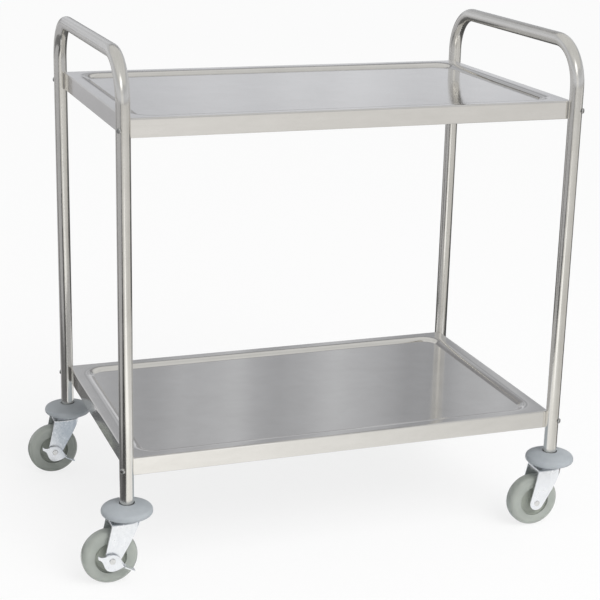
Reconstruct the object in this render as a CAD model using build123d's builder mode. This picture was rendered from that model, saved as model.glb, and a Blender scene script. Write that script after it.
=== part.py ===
"""Two-tier stainless catering trolley on four swivel casters, in millimetres, +Z up, front towards -Y."""

import math
import os

from build123d import *

os.makedirs("parts", exist_ok=True)

# Overall sizes
overall_length = 860.0
overall_width = 540.0
overall_height = 940.0

# Tube end frames
tube_od = 25.0
tube_wall = 1.2
bend_radius = 78.0
tube_seat = 8.0

# Pressed trays
handle_rise = 114.0
bottom_rim_z = 227.0
flange_height = 33.0
sheet = 1.0
post_inset = 5.0
nest_gap = 0.2
rim_flat = 15.0
rim_slope = 22.0
recess_depth = 6.0
floor_corner_radius = 26.0
lip_width = 11.0
rim_bend = 1.5
foot_bend = 1.2
crest_radius = 18.0
crease_radius = 4.0

# Stiffener under each tray floor
stiffener_length = 620.0
stiffener_web = 34.0
stiffener_wing = 12.0
stiffener_height = 15.0

# Tray screws and nuts
screw_d = 5.0
screw_head_d = 9.6
screw_head_h = 3.4
screw_hole_gap = 0.25
recess_width = 1.1
recess_span = 5.2
recess_cut = 1.7
nut_flats = 8.0
nut_height = 4.6
thread_gap = 0.03

# Casters
wheel_d = 100.0
tyre_width = 30.0
tyre_shoulder = 10.0
tyre_dish = 1.2
hub_rim_d = 60.0
hub_rim_width = 24.0
hub_web = 10.0
hub_boss_d = 19.0
hub_side_gap = 1.0
trail = 33.0
caster_height = 126.0
bumper_d = 92.0
bumper_thickness = 21.0
bumper_hollow = 4.0
bumper_mouth_gap = 1.3

# Forks
fork_width = 48.0
fork_sheet = 2.5
fork_top_z = 117.0
fork_nose_r = 23.0
fork_crease_x = -8.0
leg_end_radius = 14.0
leg_front_reach = 22.0
leg_back_reach = 32.0
fork_bend = 3.0
leg_edge = 0.8

# Swivel bearing
stem_d = 10.0
stem_reach = 44.0
stem_head_d = 18.0
stem_head_h = 4.0
race_floor = 1.5
race_wall_h = 4.8
race_wall = 1.5
ball_d = 5.0
ball_pitch_r = 16.0
ball_count = 12
upper_race_d = 45.0
upper_race_h = 3.0
upper_boss_d = 30.0

# Axles and brakes
axle_d = 8.0
axle_head_d = 11.0
axle_head_h = 1.4
axle_nut_flats = 13.0
axle_nut_h = 5.0
axle_tail = 1.5
bush_d = 12.0
brake_washer_d = 18.0
brake_washer_t = 1.5
lever_sheet = 2.0
lever_edge = 0.7
lip_depth = 5.0
lip_sheet = 1.8
pedal_depth = 13.0
pedal_thickness = 1.8

# Brake lever's outline about the axle, along X and up
lever_lower = [(22, -12), (10, -18), (-1, -19.8), (-9, -17), (-14, -10), (-17, -2), (-25, 6)]
lever_upper = [(-26, 15), (-17, 11), (-8, 12.5), (3, 12.5), (11, 8), (17, -1), (23, -8.5)]
pedal_heel = (20, -8.5)
pedal_toe = (38, -17.5)

# Clearances between pieces that turn on each other, and between touching round pieces
running = 0.05
free_gap = 0.3
snug = 0.03

# Derived sizes
tube_r = tube_od / 2
post_pitch_x = overall_length - tube_od
post_pitch_y = overall_width - tube_od
handle_z = overall_height - tube_r
top_rim_z = overall_height - handle_rise
wheel_r = wheel_d / 2
axle_z = wheel_r
bumper_r = bumper_d / 2
bumper_top = caster_height + bumper_thickness
tube_end_z = bumper_top - tube_seat
tray_length = post_pitch_x - 2 * post_inset
tray_width = post_pitch_y - 2 * post_inset
nest_r = tube_r + nest_gap
slope_corner_radius = floor_corner_radius + rim_slope
leg_out = fork_width / 2
leg_in = leg_out - fork_sheet
race_floor_z = fork_top_z + race_floor
bump_seat_z = caster_height + bumper_hollow
dish_r = ball_pitch_r + ball_d / 2 + 1 + race_wall
ball_z = race_floor_z + ball_d / 2
upper_race_z = race_floor_z + ball_d + free_gap
stem_head_top = fork_top_z - fork_sheet - free_gap
lever_y = leg_out + brake_washer_t + free_gap
brake_head_y = lever_y + lever_sheet + free_gap
lip_inner = [(x, z - lip_sheet) for x, z in lever_upper]

# The casters trail to the left, so the middle of the footprint lies left of the middle of the posts
centre_x = (trail + wheel_r - bumper_r) / 2
left_x = centre_x - post_pitch_x / 2
right_x = centre_x + post_pitch_x / 2
front_y = -post_pitch_y / 2
rear_y = post_pitch_y / 2

ends = {"left": left_x, "right": right_x}
levels = {"top": top_rim_z, "bottom": bottom_rim_z}
corners = {
    "front_left": (left_x, front_y, -1, -1),
    "front_right": (right_x, front_y, 1, -1),
    "rear_left": (left_x, rear_y, -1, 1),
    "rear_right": (right_x, rear_y, 1, 1),
}
braked = ("front_left", "rear_left")


def screw_plane(post_x, post_y, sign_x, sign_y, rim_z):
    """Plane at a post's middle whose z axis points out along the corner's diagonal."""
    return Plane(
        origin=(post_x, post_y, rim_z - flange_height / 2),
        x_dir=(-sign_y, sign_x, 0),
        z_dir=(sign_x, sign_y, 0),
    )


def tray_outline(inset):
    """Rectangle with a hollow corner round each post, drawn inset from the tray's outside."""
    Rectangle(tray_length - 2 * inset, tray_width - 2 * inset)
    with GridLocations(post_pitch_x, post_pitch_y, 2, 2):
        Circle(nest_r + inset, mode=Mode.SUBTRACT)


def pan_outline(step, corner):
    """Rounded rectangle a step in from the tray's outside."""
    RectangleRounded(tray_length - 2 * step, tray_width - 2 * step, corner)


def level_face(builder, height):
    """Largest flat face of a piece at a height."""
    faces = builder.faces().filter_by(Axis.Z).filter_by_position(Axis.Z, height - 0.01, height + 0.01)
    return faces.sort_by(SortBy.AREA)[-1]


# Tube end frames, one inverted U at each end
for end, end_x in ends.items():
    with BuildPart() as end_frame:
        with BuildLine(Plane.YZ.offset(end_x)) as route:
            FilletPolyline(
                (front_y, tube_end_z),
                (front_y, handle_z),
                (rear_y, handle_z),
                (rear_y, tube_end_z),
                radius=bend_radius,
            )
        with BuildSketch(Plane(origin=(end_x, front_y, tube_end_z), z_dir=(0, 0, 1))):
            Circle(tube_r)
            Circle(tube_r - tube_wall, mode=Mode.SUBTRACT)
        sweep(path=route.wire())
        for post_x, post_y, sign_x, sign_y in corners.values():
            if post_x != end_x:
                continue
            for rim_z in levels.values():
                with BuildSketch(screw_plane(post_x, post_y, sign_x, sign_y, rim_z)):
                    Circle(screw_d / 2 + screw_hole_gap)
                extrude(amount=tube_od, both=True, mode=Mode.SUBTRACT)
    end_frame.part.label = f"{end}_end_frame"
    export_step(end_frame.part, f"parts/{end}_end_frame.step")

# Pressed trays with a sloped rim, a downturned flange and corners hollowed for the posts
for level, rim_z in levels.items():
    foot_z = rim_z - flange_height
    with BuildPart() as tray:
        with BuildSketch(Plane((centre_x, 0, foot_z))):
            tray_outline(0)
        extrude(amount=flange_height)
        fillet(tray.faces().sort_by(Axis.Z)[-1].edges(), radius=rim_bend)
        fillet(tray.faces().sort_by(Axis.Z)[0].edges(), radius=foot_bend)
        with BuildSketch(Plane((centre_x, 0, foot_z + sheet))):
            tray_outline(sheet)
        extrude(amount=flange_height - 2 * sheet, mode=Mode.SUBTRACT)
        with BuildSketch(Plane((centre_x, 0, foot_z))):
            tray_outline(lip_width)
        extrude(amount=sheet, mode=Mode.SUBTRACT)
        with BuildSketch(Plane((centre_x, 0, rim_z - sheet))):
            pan_outline(rim_flat, slope_corner_radius)
        with BuildSketch(Plane((centre_x, 0, rim_z - sheet - recess_depth))):
            pan_outline(rim_flat + rim_slope, floor_corner_radius)
        loft()
        with BuildSketch(Plane((centre_x, 0, rim_z))):
            pan_outline(rim_flat, slope_corner_radius)
        with BuildSketch(Plane((centre_x, 0, rim_z - recess_depth))):
            pan_outline(rim_flat + rim_slope, floor_corner_radius)
        loft(mode=Mode.SUBTRACT)
        fillet(level_face(tray, rim_z).inner_wires()[0].edges(), radius=crest_radius)
        fillet(level_face(tray, rim_z - recess_depth).outer_wire().edges(), radius=crease_radius)
        under_floor = level_face(tray, rim_z - recess_depth - sheet)
        fillet(under_floor.outer_wire().edges(), radius=crease_radius + sheet)
        for post_x, post_y, sign_x, sign_y in corners.values():
            with BuildSketch(screw_plane(post_x, post_y, sign_x, sign_y, rim_z)):
                Circle(screw_d / 2 + screw_hole_gap)
            extrude(amount=-(nest_r + 4 * sheet), mode=Mode.SUBTRACT)
    tray.part.label = f"{level}_tray"
    export_step(tray.part, f"parts/{level}_tray.step")

# Hat-section stiffener under each tray floor
for level, rim_z in levels.items():
    under_z = rim_z - recess_depth - sheet
    half_web = stiffener_web / 2
    half_hat = half_web + stiffener_wing
    with BuildPart() as stiffener:
        with BuildSketch(Plane(origin=(centre_x, 0, under_z), x_dir=(0, 1, 0), z_dir=(1, 0, 0))):
            with BuildLine():
                Polyline(
                    (-half_hat, 0),
                    (-half_web + sheet, 0),
                    (-half_web + sheet, sheet - stiffener_height),
                    (half_web - sheet, sheet - stiffener_height),
                    (half_web - sheet, 0),
                    (half_hat, 0),
                    (half_hat, -sheet),
                    (half_web, -sheet),
                    (half_web, -stiffener_height),
                    (-half_web, -stiffener_height),
                    (-half_web, -sheet),
                    (-half_hat, -sheet),
                    close=True,
                )
            make_face()
        extrude(amount=stiffener_length / 2, both=True)
    stiffener.part.label = f"{level}_tray_stiffener"
    export_step(stiffener.part, f"parts/{level}_tray_stiffener.step")

# Pan-head cross-recess screws, through each post on the corner's diagonal
screw_tail = nest_r + sheet + nut_height + 1.5
head_r = screw_head_d / 2
head_top = tube_r + screw_head_h
for level, rim_z in levels.items():
    with BuildPart() as screws:
        for post_x, post_y, sign_x, sign_y in corners.values():
            at_post = screw_plane(post_x, post_y, sign_x, sign_y, rim_z)
            with BuildSketch(Plane(at_post.origin, x_dir=(0, 0, 1), z_dir=at_post.x_dir)):
                with BuildLine():
                    Polyline(
                        (0, head_top),
                        (0, -screw_tail),
                        (screw_d / 2, -screw_tail),
                        (screw_d / 2, tube_r),
                        (head_r, tube_r),
                        (head_r, tube_r + screw_head_h / 3),
                    )
                    ThreePointArc(
                        (head_r, tube_r + screw_head_h / 3),
                        (0.88 * head_r, tube_r + 0.8 * screw_head_h),
                        (0.62 * head_r, head_top),
                    )
                    Line((0.62 * head_r, head_top), (0, head_top))
                make_face()
            revolve(axis=Axis(at_post.origin, at_post.z_dir))
            with BuildSketch(at_post.offset(head_top - recess_cut)):
                Rectangle(recess_span, recess_width)
                Rectangle(recess_width, recess_span)
            extrude(amount=recess_cut, mode=Mode.SUBTRACT)
    screws.part.label = f"{level}_tray_screws"
    export_step(screws.part, f"parts/{level}_tray_screws.step")

# Saddle nuts inside the tray corners, hollowed to sit on the corner wall
saddle_r = nest_r + sheet + snug
for level, rim_z in levels.items():
    with BuildPart() as nuts:
        for post_x, post_y, sign_x, sign_y in corners.values():
            at_post = screw_plane(post_x, post_y, sign_x, sign_y, rim_z)
            with BuildSketch(at_post.offset(-nest_r)):
                RegularPolygon(nut_flats / 2, 6, major_radius=False, rotation=30)
                Circle(screw_d / 2 + thread_gap, mode=Mode.SUBTRACT)
            extrude(amount=-(sheet + nut_height))
        with BuildSketch(Plane((centre_x, 0, rim_z - flange_height))):
            with GridLocations(post_pitch_x, post_pitch_y, 2, 2):
                Circle(saddle_r)
        extrude(amount=flange_height, mode=Mode.SUBTRACT)
    nuts.part.label = f"{level}_tray_nuts"
    export_step(nuts.part, f"parts/{level}_tray_nuts.step")

# Casters: everything on one post, from the plug inside the tube down to the tyre
for corner, (post_x, post_y, sign_x, sign_y) in corners.items():
    axle_x = post_x - trail
    post_axis = Axis((post_x, post_y, 0), (0, 0, 1))
    axle_axis = Axis((axle_x, post_y, axle_z), (0, 1, 0))
    section = Plane(origin=(post_x, post_y, 0), x_dir=(1, 0, 0), z_dir=(0, -1, 0))
    wheel_section = Plane(origin=(axle_x, post_y, axle_z), x_dir=(1, 0, 0), z_dir=(0, 0, 1))
    side_view = Plane(origin=(axle_x, post_y, axle_z), x_dir=(1, 0, 0), z_dir=(0, -1, 0))
    has_brake = corner in braked
    axle_head_y = brake_head_y if has_brake else leg_out

    # Plug that grips the stem inside the tube
    with BuildPart() as plug:
        with BuildSketch(Plane((post_x, post_y, tube_end_z))):
            Circle(tube_r - tube_wall - snug)
            Circle(stem_d / 2 + thread_gap, mode=Mode.SUBTRACT)
        extrude(amount=stem_reach - 2)
    plug.part.label = f"tube_plug_{corner}"
    export_step(plug.part, f"parts/tube_plug_{corner}.step")

    # Domed bumper disc with a mouth for the tube's end and a hollow over the upper race
    mouth_r = tube_r + bumper_mouth_gap
    hollow_r = upper_race_d / 2 + 3
    belt_z = caster_height + 0.3 * bumper_thickness
    with BuildPart() as bumper:
        with BuildSketch(section):
            with BuildLine():
                Polyline(
                    (mouth_r, bumper_top),
                    (mouth_r, tube_end_z),
                    (stem_d / 2 + snug, tube_end_z),
                    (stem_d / 2 + snug, bump_seat_z),
                    (hollow_r, bump_seat_z),
                    (hollow_r + 1.5, caster_height),
                    (bumper_r - 7, caster_height),
                )
                ThreePointArc(
                    (bumper_r - 7, caster_height),
                    (bumper_r - 1.7, caster_height + 2.1),
                    (bumper_r, belt_z),
                )
                ThreePointArc(
                    (bumper_r, belt_z),
                    (bumper_r - 2.6, belt_z + 5.2),
                    (bumper_r - 9, belt_z + 8.2),
                )
                ThreePointArc(
                    (bumper_r - 9, belt_z + 8.2),
                    ((bumper_r - 9 + mouth_r) / 2, bumper_top - 2.9),
                    (mouth_r, bumper_top),
                )
            make_face()
        revolve(axis=post_axis)
    bumper.part.label = f"bumper_{corner}"
    export_step(bumper.part, f"parts/bumper_{corner}.step")

    # Stem with a king-pin head under the fork
    with BuildPart() as stem:
        with BuildSketch(Plane((post_x, post_y, stem_head_top - stem_head_h))):
            Circle(stem_d / 2)
        extrude(amount=tube_end_z + stem_reach - stem_head_top + stem_head_h)
        with BuildSketch(Plane((post_x, post_y, stem_head_top - stem_head_h))):
            Circle(stem_head_d / 2)
        extrude(amount=stem_head_h)
        chamfer(stem.faces().sort_by(Axis.Z)[0].edges(), length=1.2)
    stem.part.label = f"caster_stem_{corner}"
    export_step(stem.part, f"parts/caster_stem_{corner}.step")

    # Upper race, fixed under the bumper
    with BuildPart() as upper_race:
        with BuildSketch(Plane((post_x, post_y, upper_race_z))):
            Circle(upper_race_d / 2)
            Circle(stem_d / 2 + snug, mode=Mode.SUBTRACT)
        extrude(amount=upper_race_h)
        fillet(upper_race.faces().sort_by(Axis.Z)[-1].outer_wire().edges(), radius=1.4)
        with BuildSketch(Plane((post_x, post_y, upper_race_z + upper_race_h))):
            Circle(upper_boss_d / 2)
            Circle(stem_d / 2 + snug, mode=Mode.SUBTRACT)
        extrude(amount=bump_seat_z - upper_race_z - upper_race_h)
    upper_race.part.label = f"upper_race_{corner}"
    export_step(upper_race.part, f"parts/upper_race_{corner}.step")

    # Pressed fork: horseshoe wall, top plate and ball dish, trimmed to slanted legs
    fork_foot = axle_z - leg_end_radius
    back_x = trail + leg_end_radius + 2
    with BuildPart() as fork:
        with BuildSketch(Plane((post_x, post_y, fork_foot))):
            Circle(fork_nose_r)
            with Locations((fork_crease_x - back_x / 2, 0)):
                Rectangle(back_x, fork_width)
            make_hull()
        extrude(amount=fork_top_z - fork_foot)
        bent_edges = fork.faces().sort_by(Axis.Z)[-1].edges().sort_by(Axis.X)[1:]
        fillet(bent_edges, radius=fork_bend)
        with BuildSketch(Plane((post_x, post_y, fork_foot))):
            Circle(fork_nose_r - fork_sheet)
            with Locations((fork_crease_x - back_x / 2, 0)):
                Rectangle(back_x, 2 * leg_in)
            make_hull()
        extrude(amount=fork_top_z - fork_sheet - fork_foot, mode=Mode.SUBTRACT)
        with BuildSketch(section):
            with BuildLine():
                Line((-leg_back_reach, fork_top_z), (leg_front_reach, fork_top_z))
                CenterArc((-trail, axle_z), leg_end_radius, 0, 360)
            make_hull()
        extrude(amount=fork_width, both=True, mode=Mode.INTERSECT)
        leg_faces = fork.faces().filter_by(Axis.Y).sort_by(Axis.Y)
        leg_edges = leg_faces[0].edges() + leg_faces[-1].edges()
        trimmed_edges = leg_edges.filter_by_position(Axis.Z, 0, fork_top_z - 2 * fork_bend)
        fillet(trimmed_edges, radius=leg_edge)
        with BuildSketch(Plane((post_x, post_y, fork_top_z))):
            Circle(dish_r)
        extrude(amount=race_wall_h)
        with BuildSketch(Plane((post_x, post_y, race_floor_z))):
            Circle(dish_r - race_wall)
        extrude(amount=race_wall_h, mode=Mode.SUBTRACT)
        with BuildSketch(Plane((post_x, post_y, fork_top_z - 2 * fork_sheet))):
            Circle(stem_d / 2 + running)
        extrude(amount=4 * fork_sheet, mode=Mode.SUBTRACT)
        with BuildSketch(side_view):
            Circle(axle_d / 2 + snug)
        extrude(amount=fork_width, both=True, mode=Mode.SUBTRACT)
    fork.part.label = f"fork_{corner}"
    export_step(fork.part, f"parts/fork_{corner}.step")

    # Ring of balls between the two races
    with BuildPart() as balls:
        with Locations(Plane((post_x, post_y, ball_z))):
            with PolarLocations(ball_pitch_r, ball_count):
                Sphere(ball_d / 2)
    balls.part.label = f"swivel_balls_{corner}"
    export_step(balls.part, f"parts/swivel_balls_{corner}.step")

    # Axle pin with a low round head towards the front
    with BuildPart() as axle:
        with BuildSketch(side_view.offset(-(leg_out + axle_nut_h + axle_tail))):
            Circle(axle_d / 2)
        extrude(amount=leg_out + axle_nut_h + axle_tail + axle_head_y)
        with BuildSketch(side_view.offset(axle_head_y)):
            Circle(axle_head_d / 2)
        extrude(amount=axle_head_h)
        fillet(axle.faces().sort_by(Axis.Y)[0].edges(), radius=0.8)
    axle.part.label = f"axle_{corner}"
    export_step(axle.part, f"parts/axle_{corner}.step")

    # Axle nut behind the rear leg
    with BuildPart() as axle_nut:
        with BuildSketch(side_view.offset(-leg_out)):
            RegularPolygon(axle_nut_flats / 2, 6, major_radius=False)
            Circle(axle_d / 2 + thread_gap, mode=Mode.SUBTRACT)
        extrude(amount=-axle_nut_h)
    axle_nut.part.label = f"axle_nut_{corner}"
    export_step(axle_nut.part, f"parts/axle_nut_{corner}.step")

    # Bush between the legs that the wheel turns on
    with BuildPart() as bush:
        with BuildSketch(side_view):
            Circle(bush_d / 2)
            Circle(axle_d / 2 + snug, mode=Mode.SUBTRACT)
        extrude(amount=leg_in, both=True)
    bush.part.label = f"axle_bush_{corner}"
    export_step(bush.part, f"parts/axle_bush_{corner}.step")

    # Wheel hub: boss, web and rim
    rim_r = hub_rim_d / 2
    boss_half = leg_in - hub_side_gap
    with BuildPart() as hub:
        with BuildSketch(wheel_section):
            with BuildLine():
                Polyline(
                    (bush_d / 2 + running, -boss_half),
                    (hub_boss_d / 2, -boss_half),
                    (hub_boss_d / 2 + 2, -hub_web / 2),
                    (rim_r - 6, -hub_web / 2),
                    (rim_r - 3, -hub_rim_width / 2),
                    (rim_r, -hub_rim_width / 2),
                    (rim_r, hub_rim_width / 2),
                    (rim_r - 3, hub_rim_width / 2),
                    (rim_r - 6, hub_web / 2),
                    (hub_boss_d / 2 + 2, hub_web / 2),
                    (hub_boss_d / 2, boss_half),
                    (bush_d / 2 + running, boss_half),
                    close=True,
                )
            make_face()
        revolve(axis=axle_axis)
    hub.part.label = f"wheel_hub_{corner}"
    export_step(hub.part, f"parts/wheel_hub_{corner}.step")

    # Tyre with rounded shoulders
    tread_half = tyre_width / 2
    shoulder_mid = tyre_shoulder * (1 - math.sqrt(0.5))
    with BuildPart() as tyre:
        with BuildSketch(wheel_section):
            with BuildLine():
                Polyline(
                    (wheel_r - tyre_shoulder, tread_half),
                    (rim_r + 1.5, tread_half - tyre_dish),
                    (rim_r, tread_half - tyre_dish - 1.5),
                    (rim_r, tyre_dish + 1.5 - tread_half),
                    (rim_r + 1.5, tyre_dish - tread_half),
                    (wheel_r - tyre_shoulder, -tread_half),
                )
                ThreePointArc(
                    (wheel_r - tyre_shoulder, -tread_half),
                    (wheel_r - shoulder_mid, shoulder_mid - tread_half),
                    (wheel_r, tyre_shoulder - tread_half),
                )
                Line((wheel_r, tyre_shoulder - tread_half), (wheel_r, tread_half - tyre_shoulder))
                ThreePointArc(
                    (wheel_r, tread_half - tyre_shoulder),
                    (wheel_r - shoulder_mid, tread_half - shoulder_mid),
                    (wheel_r - tyre_shoulder, tread_half),
                )
            make_face()
        revolve(axis=axle_axis)
    tyre.part.label = f"tyre_{corner}"
    export_step(tyre.part, f"parts/tyre_{corner}.step")

    if not has_brake:
        continue

    # Washer that stands the brake lever off the fork leg
    with BuildPart() as brake_washer:
        with BuildSketch(side_view.offset(leg_out)):
            Circle(brake_washer_d / 2)
            Circle(axle_d / 2 + snug, mode=Mode.SUBTRACT)
        extrude(amount=brake_washer_t)
    brake_washer.part.label = f"brake_washer_{corner}"
    export_step(brake_washer.part, f"parts/brake_washer_{corner}.step")

    # Stamped brake lever: winged plate on the axle with a turned-out lip and a foot pedal
    with BuildPart() as lever:
        with BuildSketch(side_view.offset(lever_y)):
            with BuildLine():
                Spline(*lever_lower)
                Line(lever_lower[-1], lever_upper[0])
                Spline(*lever_upper)
                Line(lever_upper[-1], lever_lower[0])
            make_face()
        extrude(amount=lever_sheet)
        pressed_edge = lever.faces().sort_by(Axis.Y)[0].edges().sort_by(Axis.Z)[0]
        fillet(pressed_edge, radius=lever_edge)
        with BuildSketch(side_view.offset(lever_y)):
            with BuildLine():
                Spline(*lever_upper)
                Line(lever_upper[-1], lip_inner[-1])
                Spline(*lip_inner)
                Line(lip_inner[0], lever_upper[0])
            make_face()
        extrude(amount=lip_depth)
        with BuildSketch(side_view.offset(lever_y)):
            Circle(axle_d / 2 + running)
        extrude(amount=lever_sheet, mode=Mode.SUBTRACT)
        with BuildSketch(side_view.offset(lever_y)):
            with BuildLine():
                Polyline(
                    pedal_heel,
                    pedal_toe,
                    (pedal_toe[0] - 0.45 * pedal_thickness, pedal_toe[1] - 0.9 * pedal_thickness),
                    (pedal_heel[0] - 0.45 * pedal_thickness, pedal_heel[1] - 0.9 * pedal_thickness),
                    close=True,
                )
            make_face()
        extrude(amount=pedal_depth)
    lever.part.label = f"brake_lever_{corner}"
    export_step(lever.part, f"parts/brake_lever_{corner}.step")
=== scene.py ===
"""Studio scene of a two-tier stainless catering trolley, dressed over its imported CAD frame."""

import logging
import math
from dataclasses import dataclass, field
from enum import Enum
from typing import Sequence

import bpy
import numpy as np
from mathutils import Matrix, Vector


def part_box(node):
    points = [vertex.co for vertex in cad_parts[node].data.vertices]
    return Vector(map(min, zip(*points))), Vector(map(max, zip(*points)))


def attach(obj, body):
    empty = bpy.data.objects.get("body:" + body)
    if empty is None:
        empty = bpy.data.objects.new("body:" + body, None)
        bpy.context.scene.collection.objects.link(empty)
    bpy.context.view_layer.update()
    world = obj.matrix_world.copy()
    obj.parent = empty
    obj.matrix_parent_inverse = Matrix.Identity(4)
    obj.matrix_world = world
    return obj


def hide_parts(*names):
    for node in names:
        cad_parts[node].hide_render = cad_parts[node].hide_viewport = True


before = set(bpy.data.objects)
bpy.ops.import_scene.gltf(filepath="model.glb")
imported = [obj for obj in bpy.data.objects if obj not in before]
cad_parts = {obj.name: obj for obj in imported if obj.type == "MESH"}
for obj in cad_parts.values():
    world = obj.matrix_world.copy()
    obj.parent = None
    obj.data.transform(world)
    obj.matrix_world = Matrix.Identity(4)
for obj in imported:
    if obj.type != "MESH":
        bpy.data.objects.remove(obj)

Triple = tuple[float, float, float]
Span = tuple[float, float]
Socket = bpy.types.NodeSocket
Material = bpy.types.Material

LOG = logging.getLogger("trolley")
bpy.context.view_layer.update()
MM = 0.001
FRAME_BODY = "trolley_frame"
UPRIGHT: Triple = (0, 0, 1)
ALONG_AXLE: Triple = (0, 1, 0)
WHITE = (1, 1, 1, 1)
NOISE_SPAN: Span = (0.3, 0.7)


class Corner(Enum):
    """The four corners of the trolley: the tag of their CAD nodes, and whether the caster has a brake."""

    FRONT_LEFT = ("front_left", True)
    FRONT_RIGHT = ("front_right", False)
    REAR_LEFT = ("rear_left", True)
    REAR_RIGHT = ("rear_right", False)

    def __init__(self, tag: str, braked: bool) -> None:
        """Keep the corner's tag and its brake."""
        self.tag = tag
        self.braked = braked


class End(Enum):
    """The two ends of the trolley."""

    LEFT = "left"
    RIGHT = "right"


class Tier(Enum):
    """The two trays."""

    TOP = "top"
    BOTTOM = "bottom"


@dataclass(frozen=True)
class Grain:
    """A noise pattern on a piece.

    The size is the scale of the noise, and the stretch multiplies the coordinates on X, Y and Z.
    The detail is its number of octaves, and the fineness the weight of the finer ones.
    """

    size: float
    stretch: Triple = (1.0, 1.0, 1.0)
    detail: float = 3.0
    fineness: float = 0.55


class Nodes:
    """A small writer for the node tree of a material or of the world."""

    def __init__(self, owner: Material | bpy.types.World, output: str) -> None:
        """Empty the owner's node tree and give it an output.

        Args:
            owner: The material or the world.
            output: Blender's type name of the output node.
        """
        owner.use_nodes = True
        self.tree: bpy.types.NodeTree = owner.node_tree
        self.tree.nodes.clear()
        self.output = self.add(output)

    def add(self, kind: str, **settings: object) -> bpy.types.Node:
        """Add a node and set its plain properties.

        Args:
            kind: Blender's type name of the node.
            settings: Properties to set on it.

        Returns:
            The new node.
        """
        node = self.tree.nodes.new(kind)
        for key, value in settings.items():
            setattr(node, key, value)
        return node

    def link(self, source: Socket, target: Socket) -> None:
        """Join an output socket to an input socket."""
        self.tree.links.new(source, target)

    def seen(self) -> Socket:
        """Share that is 1 for the camera, in reflections and through glass, and 0 for the light given.

        Returns:
            The value socket.
        """
        path = self.add("ShaderNodeLightPath")
        share = path.outputs["Is Camera Ray"]
        for ray in ("Is Glossy Ray", "Is Transmission Ray"):
            either = self.add("ShaderNodeMath", operation="MAXIMUM")
            self.link(share, either.inputs[0])
            self.link(path.outputs[ray], either.inputs[1])
            share = either.outputs[0]
        return share

    def glow(self, kind: str, strength: float) -> bpy.types.Node:
        """A white shader that shines.

        Args:
            kind: Blender's type name of the shader.
            strength: Its strength, where 1 shows as white.

        Returns:
            The shader node.
        """
        node = self.add(kind)
        node.inputs["Color"].default_value = WHITE
        node.inputs["Strength"].default_value = strength
        return node

    def blend(self, share: Socket, base: bpy.types.Node, shown: bpy.types.Node) -> None:
        """Mix two shaders and link them to the output.

        Args:
            share: How much of the second shader shows.
            base: The first shader.
            shown: The second shader.
        """
        mix = self.add("ShaderNodeMixShader")
        self.link(share, mix.inputs["Fac"])
        self.link(base.outputs[0], mix.inputs[1])
        self.link(shown.outputs[0], mix.inputs[2])
        self.link(mix.outputs[0], self.output.inputs["Surface"])


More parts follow.
